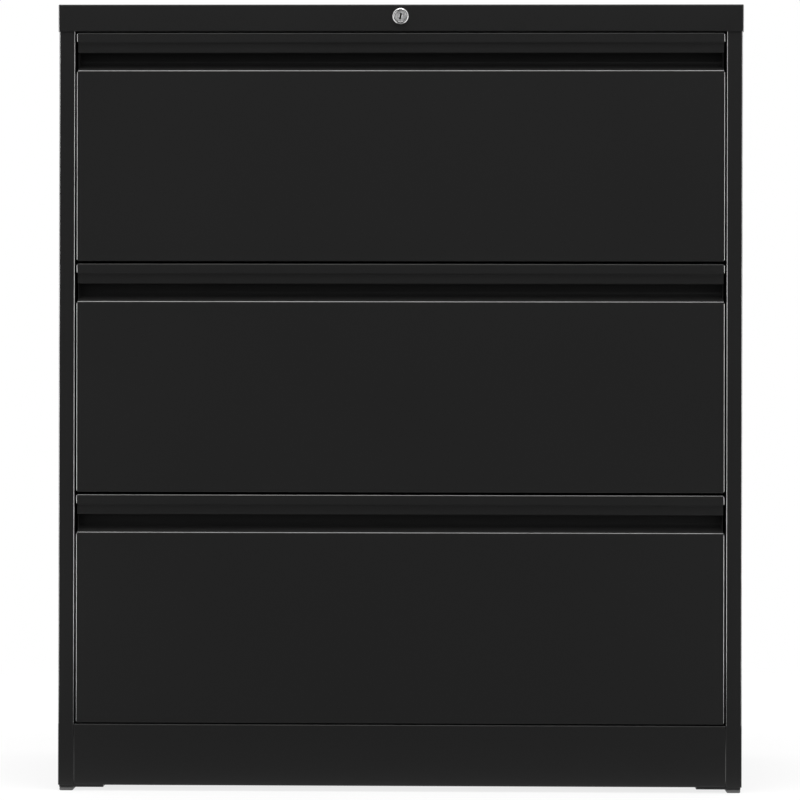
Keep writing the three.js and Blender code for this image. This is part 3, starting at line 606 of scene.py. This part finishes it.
def copy_into(build, template, placement):
    """Adds a placed copy of the template mesh to a bmesh."""
    first = len(build.verts)
    build.from_mesh(template)
    build.verts.ensure_lookup_table()
    for vert in build.verts[first:]:
        vert.co = placement @ vert.co


def heads(name, template, places, body, slot="lock_steel"):
    """One object with a head at each place; a place is a point and the way out of its face."""
    build = bmesh.new()
    for count, (point, outward) in enumerate(places):
        stand = Vector((0, 0, 1)).rotation_difference(Vector(outward)).to_matrix().to_4x4()
        spin = Matrix.Rotation(SPIN_STEP * count, 4, "Z")
        copy_into(build, template, Matrix.Translation(point) @ stand @ spin)
    return piece(name, build, finishes[slot], body)


# %% [markdown]
# ## Screws and rivets
#
# The back panel, the tray walls and the drawer fronts are held with cross-head pan screws, and the
# lock's straps and catches with blind rivets. The recess of a screw could be a bump map, but it is what
# makes a disc read as a screw from near by, so the inner rings of the stack follow a cross.

# %% Screw and rivet heads
ARM_LENGTH = 1.9 * MM
ARM_HALF_WIDTH = 0.55 * MM
# Radius and height of each ring, in millimetres.
SCREW_PROFILE = [(3.6, 0.0), (3.6, 0.5), (3.3, 1.2), (2.7, 1.7), (2.3, 1.85)]
RECESS_RIM = 1.95 * MM
RECESS_FLOOR = 0.7 * MM
RECESS_TAPER = 0.75
RIVET_PROFILE = [(2.4, 0.0), (2.4, 0.2), (2.1, 0.7), (1.4, 1.0), (0.8, 1.05), (0.7, 0.5)]
RIVET_SIDES = 20
TINY = 1e-6


def cross_angles():
    """Directions that meet every corner of a cross, with one more along each side of an arm."""
    corner = math.atan2(ARM_HALF_WIDTH, ARM_LENGTH)
    middle = (corner + math.pi / 4) / 2
    quadrant = [0.0, corner, middle, math.pi / 4, math.pi / 2 - middle, math.pi / 2 - corner]
    return [quarter * math.pi / 2 + angle for quarter in range(4) for angle in quadrant]


def cross_radius(angle):
    """Distance from the middle of a cross to its outline."""
    longer, shorter = sorted((abs(math.cos(angle)), abs(math.sin(angle))), reverse=True)
    end = ARM_LENGTH / longer
    return min(end, ARM_HALF_WIDTH / shorter) if shorter > TINY else end


def ring(angles, radius_at, height):
    """Points round an axis, at one height and a radius for each angle."""
    return [
        (radius_at(angle) * math.cos(angle), radius_at(angle) * math.sin(angle), height)
        for angle in angles
    ]


def round_rings(angles, profile):
    """Round outlines that follow a profile in millimetres."""
    return [ring(angles, lambda _, r=radius: r * MM, height * MM) for radius, height in profile]


def screw_mesh():
    """Pan head whose last two outlines sink into it as a cross."""
    angles = cross_angles()
    outlines = round_rings(angles, SCREW_PROFILE)
    outlines.append(ring(angles, cross_radius, RECESS_RIM))
    outlines.append(ring(angles, lambda angle: RECESS_TAPER * cross_radius(angle), RECESS_FLOOR))
    return stack_mesh("screw_head", outlines)


def rivet_mesh():
    """Domed head with the small hole that a blind rivet keeps."""
    angles = [2 * math.pi * side / RIVET_SIDES for side in range(RIVET_SIDES)]
    return stack_mesh("rivet_head", round_rings(angles, RIVET_PROFILE))


screw = screw_mesh()
rivet = rivet_mesh()
print("screw head", len(screw.polygons), "faces, rivet head", len(rivet.polygons), "faces")

# %% Screws and rivets on the back
EDGE_INSET = 10 * MM
BACK_ROWS = 7
BACK_COLUMNS = 4
COLUMN_SPREAD = 0.72  # share of the panel's half width
TOP_ROW_DROP = 40 * MM
STRAP_FOOT_INSET = 5.5 * MM
OUT_BACK = (0, 1, 0)


def spaced(start, end, count):
    """Evenly spaced numbers from start to end."""
    return [start + (end - start) * step / (count - 1) for step in range(count)]


panel_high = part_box("back_panel")[1]
cap_low, cap_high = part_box("top_panel")
base_low, base_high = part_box("base_panel")
edge_x = panel_high.x - EDGE_INSET
column_x = spaced(-COLUMN_SPREAD * edge_x, COLUMN_SPREAD * edge_x, BACK_COLUMNS)
row_z = spaced(base_high.z, cap_low.z - TOP_ROW_DROP, BACK_ROWS)
base_z = (base_low.z + base_high.z) / 2
skirt_z = (cap_low.z + cap_high.z) / 2
side_x = [hand * edge_x for hand in HANDS.values()]
back_places = [((x, panel_high.y, z), OUT_BACK) for x in side_x for z in row_z]
back_places += [((x, panel_high.y, base_z), OUT_BACK) for x in column_x]
back_places += [((x, cap_high.y, skirt_z), OUT_BACK) for x in column_x]
heads("back_screws", screw, back_places, "cabinet")

strap_places = []
for end in ("upper", "lower"):
    low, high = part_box("lock_bar_guide_" + end)
    middle = (low.z + high.z) / 2
    for x in (low.x + STRAP_FOOT_INSET, high.x - STRAP_FOOT_INSET):
        strap_places.append(((x, panel_high.y, middle), OUT_BACK))
heads("strap_rivets", rivet, strap_places, "cabinet")
print(len(back_places), "screws and", len(strap_places), "rivets on the back")

# %% Screws and rivets in the drawers
SHEET = 0.7 * MM
SLIDE_SCREWS = 3
SLIDE_SCREW_MARGIN = 0.1  # share of the tray's depth
FRONT_SCREWS = 4
FRONT_SCREW_SPREAD = 0.75  # share of the tray's half width
FRONT_SCREW_HEIGHT = 18 * MM
CATCH_RIVET_HALF_PITCH = 7 * MM
CATCH_RIVET_DROP = 8 * MM


def tray_places(number):
    """Heads inside one tray: through its walls into the slides, and through its front wall."""
    low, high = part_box(f"drawer_{number}_tray")
    slide_low, slide_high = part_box(f"slide_inner_{number}_left")
    slide_z = (slide_low.z + slide_high.z) / 2
    margin = SLIDE_SCREW_MARGIN * (high.y - low.y)
    along = spaced(low.y + margin, high.y - margin, SLIDE_SCREWS)
    wall = high.x - SHEET
    places = [((hand * wall, y, slide_z), (-hand, 0, 0)) for hand in HANDS.values() for y in along]
    across = spaced(-FRONT_SCREW_SPREAD * wall, FRONT_SCREW_SPREAD * wall, FRONT_SCREWS)
    front_z = low.z + FRONT_SCREW_HEIGHT
    return places + [((x, low.y + SHEET, front_z), OUT_BACK) for x in across]


def catch_places(number):
    """Rivet heads inside the tray that hold the catch behind it."""
    low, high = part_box(f"drawer_{number}_catch")
    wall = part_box(f"drawer_{number}_tray")[1].y - SHEET
    middle = (low.x + high.x) / 2
    offsets = (-CATCH_RIVET_HALF_PITCH, CATCH_RIVET_HALF_PITCH)
    return [((middle + offset, wall, high.z - CATCH_RIVET_DROP), (0, -1, 0)) for offset in offsets]


for number in DRAWERS:
    heads(f"drawer_{number}_screws", screw, tray_places(number), f"drawer_{number}")
    heads(f"drawer_{number}_rivets", rivet, catch_places(number), f"drawer_{number}")
print(len(tray_places(1)), "screws and", len(catch_places(1)), "rivets in each drawer")

# %% [markdown]
# ## Balls in the slides
#
# A telescopic slide runs on rows of steel balls between its members, kept apart by a thin punched
# strip. Two rows run between the outer and the middle member and two between the middle and the inner
# one. Each strip is short and sits where both of its members still hold it when the drawer is fully
# out, so it can travel with the middle member.

# %% Balls and ball strips
BALL_RADIUS = 1.4 * MM
BALLS_PER_ROW = 10
STRIP_LENGTH = 194 * MM
STRIP_HALF_THICKNESS = 0.25 * MM
STRIP_LIP = 0.7 * MM
STRIP_INSET = 3 * MM
# For each pair of members: sideways offset, height, half width of the strip, and its end of the slide.
BALL_ROWS = {
    "outer": {"offset": 0.0, "height": 19.8 * MM, "half_width": 2.4 * MM, "end": "rear"},
    "inner": {"offset": 0.3 * MM, "height": 15.6 * MM, "half_width": 1.3 * MM, "end": "front"},
}
UP_AND_DOWN = (-1, 1)


def strip_outline(half_width, upward):
    """Section of a strip: flat, with a small lip along both edges that points to the slide's middle."""
    flat, lip, inner = half_width, STRIP_LIP, half_width - 2 * STRIP_HALF_THICKNESS
    top, under = STRIP_HALF_THICKNESS, -STRIP_HALF_THICKNESS
    section = [(-flat, top), (flat, top), (flat, under - lip), (inner, under - lip)]
    section += [(inner, under), (-inner, under), (-inner, under - lip), (-flat, under - lip)]
    return [(x, upward * z) for x, z in section]


def ball_rows(number, name, hand):
    """The four strips of one slide, with their balls, as two objects."""
    low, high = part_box(f"slide_middle_{number}_{name}")
    middle_x = (low.x + high.x) / 2
    middle_z = (low.z + high.z) / 2
    strips, balls = bmesh.new(), bmesh.new()
    for row in BALL_ROWS.values():
        start = high.y - STRIP_INSET - STRIP_LENGTH if row["end"] == "rear" else low.y + STRIP_INSET
        x = middle_x + hand * row["offset"]
        for upward in UP_AND_DOWN:
            z = middle_z + upward * row["height"]
            section = strip_outline(row["half_width"], upward)
            outlines = [[(x + a, y, z + b) for a, b in section] for y in (start, start + STRIP_LENGTH)]
            copy_into(strips, stack_mesh("ball_strip", outlines), Matrix.Identity(4))
            margin = STRIP_LENGTH / (2 * BALLS_PER_ROW)
            for y in spaced(start + margin, start + STRIP_LENGTH - margin, BALLS_PER_ROW):
                place = Matrix.Translation((x, y, z))
                bmesh.ops.create_icosphere(balls, subdivisions=2, radius=BALL_RADIUS, matrix=place)
    body = f"runner_{number}"
    piece(f"ball_strips_{number}_{name}", strips, finishes["slide_steel"], body)
    piece(f"balls_{number}_{name}", balls, ball_steel, body)


for number in DRAWERS:
    for name, hand in HANDS.items():
        ball_rows(number, name, hand)
rows_per_slide = len(BALL_ROWS) * len(UP_AND_DOWN)
print(len(DRAWERS) * len(HANDS) * rows_per_slide, "ball rows of", BALLS_PER_ROW)

# %% [markdown]
# ## Wafers in the keyhole
#
# Behind the slot of a wafer lock, thin brass plates reach into the keyway from above and below until a
# key pushes them level. They glint dimly inside a keyhole, so four of them stand in the slot, staggered.

# %% Wafers
WAFER_HALF_WIDTH = 0.68 * MM
WAFER_HALF_HEIGHT = 1.2 * MM
WAFER_THICKNESS = 0.7 * MM
WAFER_SHIFT = 2.4 * MM
FIRST_WAFER = 4.4 * MM
WAFER_PITCH = 1.15 * MM
WAFER_COUNT = 4
# Corners of a wafer as shares of its half width and half height.
WAFER_CORNERS = [(-1, -0.7), (-0.6, -1), (0.6, -1), (1, -0.7)]
WAFER_CORNERS += [(1, 0.7), (0.6, 1), (-0.6, 1), (-1, 0.7)]


def wafers():
    """Chamfered plates that stand low and high in the keyway by turns."""
    tilt = Matrix.Translation(keyhole_middle()) @ Matrix.Rotation(KEYHOLE_TILT, 4, "Y")
    build = bmesh.new()
    for count in range(WAFER_COUNT):
        near = FIRST_WAFER + count * WAFER_PITCH
        shift = WAFER_SHIFT if count % 2 else -WAFER_SHIFT
        outlines = [
            [(a * WAFER_HALF_WIDTH, y, b * WAFER_HALF_HEIGHT + shift) for a, b in WAFER_CORNERS]
            for y in (near, near + WAFER_THICKNESS)
        ]
        copy_into(build, stack_mesh("wafer", outlines), tilt)
    return piece("keyway_wafers", build, painted_shade_brass, "lock_barrel")


wafers()
print(WAFER_COUNT, "wafers behind the keyhole")

# %% [markdown]
# ## A white studio
#
# The photograph is a catalogue cut-out: white all round, with soft light that comes mostly from above.
# So the room itself lights the cabinet, more from its ceiling than from below, and to the camera and to
# reflections it is plain white. A pale floor keeps the shadow. A white room would also mirror in the
# satin fronts and turn them grey. Two dark cards prevent that, as in a real studio: a black one stands
# behind the camera, and a dark grey one lies on the floor in front of the cabinet. The camera doesn't
# see them.

# %% Floor
FLOOR_RADIUS = 1.8
FLOOR_SIDES = 96
FLOOR_DARK = grey(0.90)
FLOOR_LIGHT = grey(0.92)
FLOOR_ROUGHNESS = 0.9
FLOOR_SPECULAR = 0.1
FLOOR_GLOW = 0.80
FADE_START = 0.8
FADE_END = 0.95 * FLOOR_RADIUS


def background_rays(tree):
    """A mask of the rays that see the background: from the camera, a mirror or through glass."""
    path = add(tree, "LightPath").outputs
    seen = {0: path["Is Camera Ray"], 1: path["Is Glossy Ray"]}
    mirrored = add(tree, "Math", seen, operation="MAXIMUM").outputs[0]
    either = {0: mirrored, 1: path["Is Transmission Ray"]}
    return add(tree, "Math", either, operation="MAXIMUM").outputs[0]


def floor_material():
    """Pale and matt; part of what the camera sees of it is plain white, and all of it near the rim."""
    material, tree, shader = new_material("studio_floor")
    grain = use(tree, powder_grain, **{"Peel Scale": 120.0, "Drift Scale": 2.0})
    tree.links.new(blend(tree, grain["Drift"], FLOOR_DARK, FLOOR_LIGHT), shader.inputs["Base Color"])
    shader.inputs["Roughness"].default_value = FLOOR_ROUGHNESS
    shader.inputs["Specular IOR Level"].default_value = FLOOR_SPECULAR
    place = add(tree, "TexCoord").outputs["Object"]
    distance = add(tree, "VectorMath", {0: place}, operation="LENGTH").outputs["Value"]
    glow = spread(tree, distance, FLOOR_GLOW, 1.0, start=FADE_START, end=FADE_END)
    share = add(tree, "Math", {0: background_rays(tree), 1: glow}, operation="MULTIPLY")
    white = add(tree, "Emission", {"Color": grey(1.0), "Strength": 1.0})
    mixed = add(tree, "MixShader", {0: share.outputs[0], 1: shader.outputs[0], 2: white.outputs[0]})
    tree.links.new(mixed.outputs[0], tree.nodes["Material Output"].inputs["Surface"])
    return material


def stage_mesh(name, build, material):
    """An object of the studio, which isn't part of the cabinet."""
    obj = object_from(name, build, material)
    obj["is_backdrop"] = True
    return obj


def studio_floor():
    """A large disc under the cabinet."""
    build = bmesh.new()
    bmesh.ops.create_circle(build, cap_ends=True, segments=FLOOR_SIDES, radius=FLOOR_RADIUS)
    stage_mesh("studio_floor", build, floor_material())


studio_floor()
print("floor with a radius of", FLOOR_RADIUS, "m")

# %% Dark cards
CARD_DISTANCE = 7.0
CARD_HALF_WIDTH = 5.0
CARD_HALF_HEIGHT = 4.0
UPRIGHT_SHADE = 0.012
FLOOR_CARD_HALF_WIDTH = 0.65
FLOOR_CARD_START = 0.265
FLOOR_CARD_HEIGHT = 1 * MM
FLOOR_SHADE = 0.135
FELT_DARK = 0.85
FELT_LIGHT = 1.15


def felt(name, shade):
    """Dark felt, a little uneven. From behind it is clear, so that it doesn't darken the floor."""
    material, tree, shader = new_material(name)
    grain = use(tree, powder_grain, **{"Peel Scale": 60.0, "Drift Scale": 1.0})
    mottled = blend(tree, grain["Drift"], grey(FELT_DARK * shade), grey(FELT_LIGHT * shade))
    tree.links.new(mottled, shader.inputs["Base Color"])
    shader.inputs["Roughness"].default_value = 1.0
    shader.inputs["Specular IOR Level"].default_value = 0.0
    behind = add(tree, "NewGeometry").outputs["Backfacing"]
    clear = add(tree, "BsdfTransparent")
    either = add(tree, "MixShader", {0: behind, 1: shader.outputs[0], 2: clear.outputs[0]})
    tree.links.new(either.outputs[0], tree.nodes["Material Output"].inputs["Surface"])
    return material


def dark_card(name, half_width, near, far, shade):
    """A card between two lines, each given by its y and z, that the camera doesn't see."""
    build = bmesh.new()
    corners = [(-half_width, *far), (half_width, *far), (half_width, *near), (-half_width, *near)]
    build.faces.new([build.verts.new(corner) for corner in corners])
    card = stage_mesh(name, build, felt(name, shade))
    card.visible_camera = False
    card.visible_shadow = False
    return card


card_foot = (-CARD_DISTANCE, -CARD_HALF_HEIGHT)
card_head = (-CARD_DISTANCE, CARD_HALF_HEIGHT)
upright_card = dark_card("upright_card", CARD_HALF_WIDTH, card_foot, card_head, UPRIGHT_SHADE)
upright_card.visible_diffuse = False
near_line = (-FLOOR_CARD_START, FLOOR_CARD_HEIGHT)
far_line = (-CARD_DISTANCE, FLOOR_CARD_HEIGHT)
floor_card = dark_card("floor_card", FLOOR_CARD_HALF_WIDTH, near_line, far_line, FLOOR_SHADE)
print("dark cards:", upright_card.name, "and", floor_card.name)

# %% Room light
LIGHT_FROM_BELOW = 0.15
LIGHT_FROM_ABOVE = 1.2
RISE_RANGE = {"start": -0.4, "end": 0.6}  # upward part of a direction


def studio_world():
    """White to the camera and in reflections; as light, brighter from above."""
    world = bpy.data.worlds.new("studio")
    world.use_nodes = True
    tree = world.node_tree
    tree.nodes.clear()
    way = add(tree, "TexCoord").outputs["Generated"]
    rise = add(tree, "SeparateXYZ", {"Vector": way}).outputs["Z"]
    level = spread(tree, rise, LIGHT_FROM_BELOW, LIGHT_FROM_ABOVE, **RISE_RANGE)
    room = add(tree, "Background", {"Color": grey(1.0), "Strength": level})
    white = add(tree, "Background", {"Color": grey(1.0), "Strength": 1.0})
    lights = {0: background_rays(tree), 1: room.outputs[0], 2: white.outputs[0]}
    either = add(tree, "MixShader", lights)
    add(tree, "OutputWorld", {"Surface": either.outputs[0]})
    bpy.context.scene.world = world


studio_world()
print("room light", LIGHT_FROM_BELOW, "from below,", LIGHT_FROM_ABOVE, "from above")

# %% [markdown]
# ## Lamps
#
# A black cabinet is drawn by what its edges reflect. One soft lamp hangs above and in front, and shades
# the recesses of the pulls. Two tall strips to the left and right of the front are there for the bends:
# each bend that turns towards them shows them as a thin bright line. They are left out of the diffuse
# light, so that they don't wash out the sides.

# %% Lamps
AIM = Vector((0.0, -0.3, 0.5))
TOP_PLACE = (0.0, -0.75, 2.9)
TOP_SIZE = (1.6, 1.4)
TOP_POWER = 36
STRIP_SIDE = 2.92
STRIP_FORWARD = 1.52
STRIP_MIDDLE = 0.46
STRIP_SIZE = (1.0, 1.88)
STRIP_POWER = 35


def softbox(name, place, size, power):
    """A rectangular lamp that faces the cabinet and isn't seen itself."""
    light = bpy.data.lights.new(name, "AREA")
    light.shape = "RECTANGLE"
    light.size, light.size_y = size
    light.energy = power
    lamp = bpy.data.objects.new(name, light)
    lamp.location = place
    lamp.rotation_euler = (AIM - Vector(place)).to_track_quat("-Z", "Y").to_euler()
    lamp.visible_camera = False
    bpy.context.scene.collection.objects.link(lamp)
    return lamp


softbox("top_box", TOP_PLACE, TOP_SIZE, TOP_POWER)
for name, hand in HANDS.items():
    place = (hand * STRIP_SIDE, -STRIP_FORWARD, STRIP_MIDDLE)
    strip = softbox(f"{name}_strip", place, STRIP_SIZE, STRIP_POWER)
    strip.visible_diffuse = False
print(len(bpy.data.lights), "lamps")

# %% [markdown]
# ## The camera
#
# The uprights of the photographed cabinet stay parallel, so it was taken with a level camera and a long
# lens. The camera stands 4 m in front, at half the cabinet's height and a little to the right, turned
# back towards the middle. No lens shift is needed, so views from other sides stay centred.

# %% Camera
CAMERA_PLACE = Vector((0.072, -4.2225, 0.5146))
YAW = math.radians(1.028)  # to the left of straight ahead
ROLL = math.radians(0.110)
LENS_MM = 137.12


def camera_matrix(place, yaw, roll):
    """Level camera that looks along +Y, turned left by yaw and tipped by roll."""
    level = Matrix.Rotation(math.radians(90), 4, "X")
    tipped = Matrix.Rotation(roll, 4, "Z")
    return Matrix.Translation(place) @ Matrix.Rotation(yaw, 4, "Z") @ level @ tipped


lens = bpy.data.cameras.new("catalogue_camera")
lens.lens = LENS_MM
camera = bpy.data.objects.new("catalogue_camera", lens)
camera.matrix_world = camera_matrix(CAMERA_PLACE, YAW, ROLL)
bpy.context.scene.collection.objects.link(camera)
bpy.context.scene.camera = camera
bpy.context.scene.view_settings.view_transform = "Standard"
print("camera at", [round(value, 3) for value in CAMERA_PLACE], "with a", LENS_MM, "mm lens")

# %% [markdown]
# ## Dressed size
#
# The last cell prints how large the dressed cabinet is.

# %% Dressed size
low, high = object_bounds()
print("dressed size", [round(length / MM, 1) for length in high - low], "mm")
